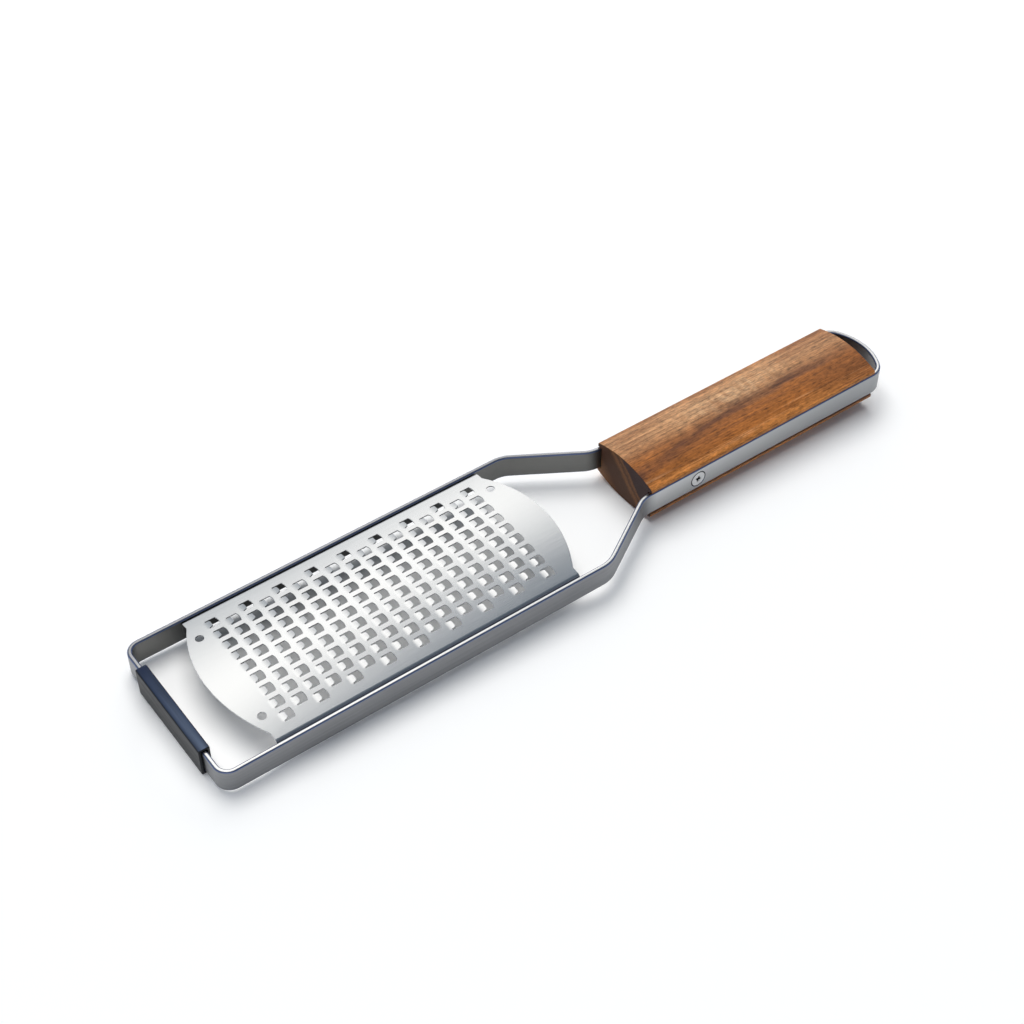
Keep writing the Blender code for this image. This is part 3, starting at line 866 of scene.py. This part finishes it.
kinds = {"Screw": "Object", "Screw line": "Float", "Strap reach": "Float", "Height": "Float"}
tree, given = start_shape("screw_pair", {**kinds, "Finish": "Material"})
start = given["Geometry"]
index = start.node("GeometryNodeInputIndex")
side = index * 2 - 1
spot = {0: given["Screw line"], 1: side * given["Strap reach"], 2: given["Height"]}
spot = index.node("ShaderNodeCombineXYZ", None, spot)
points = start.node("GeometryNodePoints", None, {"Count": 2, "Position": spot})
single = start.node("GeometryNodeObjectInfo", None, {"Object": given["Screw"]}, give="Geometry")
turn = index.node("ShaderNodeCombineXYZ", None, {0: side * -quarter, 1: recess_turn})
pair = {"Points": points, "Instance": single, "Rotation": turn}
close_shape(start.node("GeometryNodeInstanceOnPoints", None, pair), given["Finish"])
screws = add_piece("cross_screws", bmesh.new())
run_shape(screws, tree, {
    "Screw": screw,
    "Screw line": screw_x,
    "Strap reach": half_grip,
    "Height": strip_middle,
    "Finish": plated,
})
soften(screws, 0, 0)
bpy.data.objects.remove(screw)
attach(screws, "root")
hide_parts("screw_near", "screw_far")
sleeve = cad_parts["sleeve_nut"]
for slot in sleeve.material_slots:
    slot.material = plated


# Foot: a sleeve of dark synthetic rubber, moulded to the strip's section and pushed over the
# front bar before the ring is closed. It keeps the tool from sliding on the table.
foot_low, foot_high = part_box("rubber_foot")
foot_radius = 0.0007
foot_end_radius = 0.00025
foot_clearance = 0.0003
skin_depth = 0.00002
rubber_navy = (0.003, 0.013, 0.045, 1)
rubber_sheen = (0.075, 0.105, 0.170, 1)
rubber_grey = (0.022, 0.024, 0.027, 1)
rubber_edge_shade = (0.002, 0.003, 0.006, 1)

half_high = (foot_high.z - foot_low.z) / 2
half_deep = (foot_high.x - foot_low.x) / 2
outline = []
for turn, (u, v) in enumerate(((1, 1), (-1, 1), (-1, -1), (1, -1))):
    center = Vector((u * (half_high - foot_radius), v * (half_deep - foot_radius), 0))
    outline += in_plane(bend(center, foot_radius, turn * quarter, (turn + 1) * quarter, 15))
high = strip_height / 2 + foot_clearance
deep = strip_thickness / 2 + foot_clearance
hollow = [(high, deep), (-high, deep), (-high, -deep), (high, -deep)]
foot_middle = (foot_low.x + foot_high.x) / 2
sleeve_body = prism(
    outline,
    [hollow],
    lambda spot, end: (foot_middle + spot[1], end, strip_middle + spot[0]),
    (foot_low.y, foot_high.y),
)
foot = add_piece("rubber_sleeve", sleeve_body)
rubber, shader, place = start_material("dark_rubber", 0.0)
skin = noise(place, (1500, 1500, 1500), detail=3)
wipe = noise(place, (500, 30, 500), detail=3)
sheen_noise = noise(place, (160, 90, 160), detail=4)
shader.inputs["Specular IOR Level"].default_value = 0.25
parts = split(place)
facing_up = split(place.other("Normal")).other(2)
# Painted sheen: the rubber is lighter towards the near side and the middle of the foot.
nearness = 0.5 - parts.other(1) / (foot_high.y - foot_low.y)
near_sheen = ramp(nearness + (sheen_noise - 0.5) * 0.3, (0.0, 0.0), (1.0, 1.0))
ridge = abs(parts - foot_middle) / half_deep + (sheen_noise - 0.5) * 0.2
near_sheen = near_sheen * ramp(ridge, (0.3, 1.0), (0.8, 0.35))
color = mix(near_sheen, rubber_navy, rubber_sheen)
# Painted reflection: faces turned upwards keep the navy and its sheen, and the sides are a darker
# grey.
color = mix(ramp(facing_up, (0.5, 0.0), (0.9, 1.0)), rubber_grey, color)
# Painted shade: the rounded edges of the foot are darkened to near black.
rounded = ramp(abs(facing_up), (0.15, 0.0), (0.4, 0.9), (0.75, 0.9), (0.95, 0.0))
color = mix(rounded, color, rubber_edge_shade)
color = mix(ramp(wipe, (0.5, 0.0), (0.7, 0.35)), color, rubber_grey)
color.into(shader.inputs["Base Color"])
(0.48 + (wipe - 0.5) * 0.35).into(shader.inputs["Roughness"])
bump_into(shader, skin * 0.7 + wipe * 0.3, skin_depth)
foot.data.materials.append(rubber)
soften(foot, foot_end_radius, 2, sharpest=50)
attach(foot, "root")
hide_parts("rubber_foot")


# Table: a plain pale sheet, laid along the foot and the front end of the handle, on which the
# tool lies. The camera and reflections see a faint glow of it that rises further off, so it reads
# white, and a painted pool of light in the frame's front opening that lifts the shadow there.
table_size = 3.0
table_gap = 0.0001
table_tilt = math.radians(1.1)
table_rise = -math.tan(table_tilt)
table_color = (0.97, 0.97, 0.97, 1)
glow_near = 0.03
glow_middle = 0.09
glow_far = 0.35
opening_painted_light = 0.2
opening_reach = 0.036
opening_middle = (strip_low.x + 0.017, -0.016, 0)


def seen_rays(tree):
    """1 for what the camera, reflections and glass see, and 0 for the light on a surface."""
    rays = Wire(tree).node("ShaderNodeLightPath", give="Is Camera Ray")
    seen = rays.math("MAXIMUM", rays, rays.other("Is Glossy Ray"))
    return rays.math("MAXIMUM", seen, rays.other("Is Transmission Ray"))


sheet_top = bmesh.new()
corners = []
for u, v in ((-1, -1), (1, -1), (1, 1), (-1, 1)):
    height = (u * table_size - handle_low.x) * table_rise - table_gap
    corners.append(sheet_top.verts.new((u * table_size, v * table_size, height)))
sheet_top.faces.new(corners)
table = add_piece("table", sheet_top)
paper = bpy.data.materials.new("table_paper")
paper.use_nodes = True
shader = paper.node_tree.nodes["Principled BSDF"]
shader.inputs["Base Color"].default_value = table_color
shader.inputs["Roughness"].default_value = 1.0
shader.inputs["Specular IOR Level"].default_value = 0.0
shader.inputs["Emission Strength"].default_value = 1.0
place = Wire(paper.node_tree).node("ShaderNodeTexCoord", give="Object")
reach = distance(place) / table_size
glow = ramp(reach, (0.12, glow_near), (0.35, glow_middle), (1.0, glow_far))
# Painted light: a patch of glow in the frame's front opening lifts the floor's shadow there.
opening = distance(place, opening_middle) / opening_reach
glow = mix(ramp(opening, (0.15, opening_painted_light), (1.0, 0.0)), glow, (1, 1, 1, 1))
mix(seen_rays(paper.node_tree), (0, 0, 0, 1), glow).into(shader.inputs["Emission Color"])
table.data.materials.append(paper)


# Studio: a soft box over the far side of the table, which reflections don't show, and a dim
# cool room with a long pale panel and a small pane that they do. The horizon and the room
# behind the tool look white, as the table does.
box_direction = Vector((0.1, 0.3, 0.95)).normalized()
box_distance = 7.0
box_width = 6.2
box_depth = 6.2
box_radiance = 3.3
box_color = (1.0, 0.985, 0.965)
room_near = (0.080, 0.100, 0.130, 1)
room_far = (0.29, 0.345, 0.405, 1)
panel_color = (2.03, 1.99, 1.91, 1)
panel_right = 0.77
panel_far = 0.64

box = bpy.data.lights.new("soft_box", "AREA")
box.shape = "RECTANGLE"
box.size = box_width
box.size_y = box_depth
box.energy = box_radiance * math.pi * box_width * box_depth
box.color = box_color
soft_box = bpy.data.objects.new("soft_box", box)
soft_box.location = box_direction * box_distance
soft_box.rotation_euler = box_direction.to_track_quat("Z", "Y").to_euler()
soft_box.visible_glossy = False
bpy.context.scene.collection.objects.link(soft_box)

room = bpy.data.worlds.new("studio_room")
room.use_nodes = True
bpy.context.scene.world = room
background = room.node_tree.nodes["Background"]
view = Wire(room.node_tree).node("ShaderNodeTexCoord", give="Generated")
right = split(view)
far, up = right.other(1), right.other(2)
walls = mix(ramp(far * 0.5 + 0.5, (0.1, 0.0), (0.9, 1.0)), room_near, room_far)
panel_width = far * panel_far - right * panel_right + 0.3
panel_length = abs(right * panel_far + far * panel_right - 0.52)
panel = ramp(
    panel_width,
    (0.2, 0.0),
    (0.25, 0.1),
    (0.42, 1.0),
    (0.47, 1.0),
    (0.8, 0.12),
    (0.95, 0.0),
)
panel = panel * ramp(panel_length, (0.38, 1.0), (0.7, 0.0)) * (up > 0.0)
panel = panel * ramp(far, (0.66, 1.0), (0.92, 0.2))
pane = ramp(right, (0.45, 0.0), (0.49, 1.0), (0.7, 1.0), (0.8, 0.0)) * (up > 0.2)
pane = pane * ramp(far, (0.4, 0.0), (0.46, 1.0), (0.6, 1.0), (0.7, 0.0))
walls = mix(panel.math("MAXIMUM", panel, pane), walls, panel_color)
behind = ramp(right * -1.0, (0.0, 0.0), (0.3, 0.8)) * ramp(far * -1.0, (0.1, 0.0), (0.4, 1.0))
pale = behind.math("MAXIMUM", behind, ramp(up, (0.22, 1.0), (0.45, 0.0)))
pale = pale * seen_rays(room.node_tree)
mix(pale, walls, (1, 1, 1, 1)).into(background.inputs["Color"])


# Camera: the angle and distance fitted to the photograph, and the lens that gives its frame on
# a square picture.
camera_azimuth = math.radians(-36.175)
camera_elevation = math.radians(45.737)
camera_distance = 0.754
camera_target = Vector((-0.01237, 0.008046, 0.0163))
sensor_width = 36
focal_pixels = 1878.5
picture_pixels = 1024

camera = bpy.data.cameras.new("camera")
camera.sensor_width = sensor_width
camera.lens = focal_pixels / picture_pixels * sensor_width
camera.clip_start = 0.01
viewer = bpy.data.objects.new("camera", camera)
back = Vector((
    math.sin(camera_azimuth) * math.cos(camera_elevation),
    -math.cos(camera_azimuth) * math.cos(camera_elevation),
    math.sin(camera_elevation),
))
viewer.location = camera_target + back * camera_distance
viewer.rotation_euler = (quarter - camera_elevation, 0, camera_azimuth)
bpy.context.scene.collection.objects.link(viewer)
bpy.context.scene.camera = viewer
bpy.context.scene.view_settings.view_transform = "Standard"
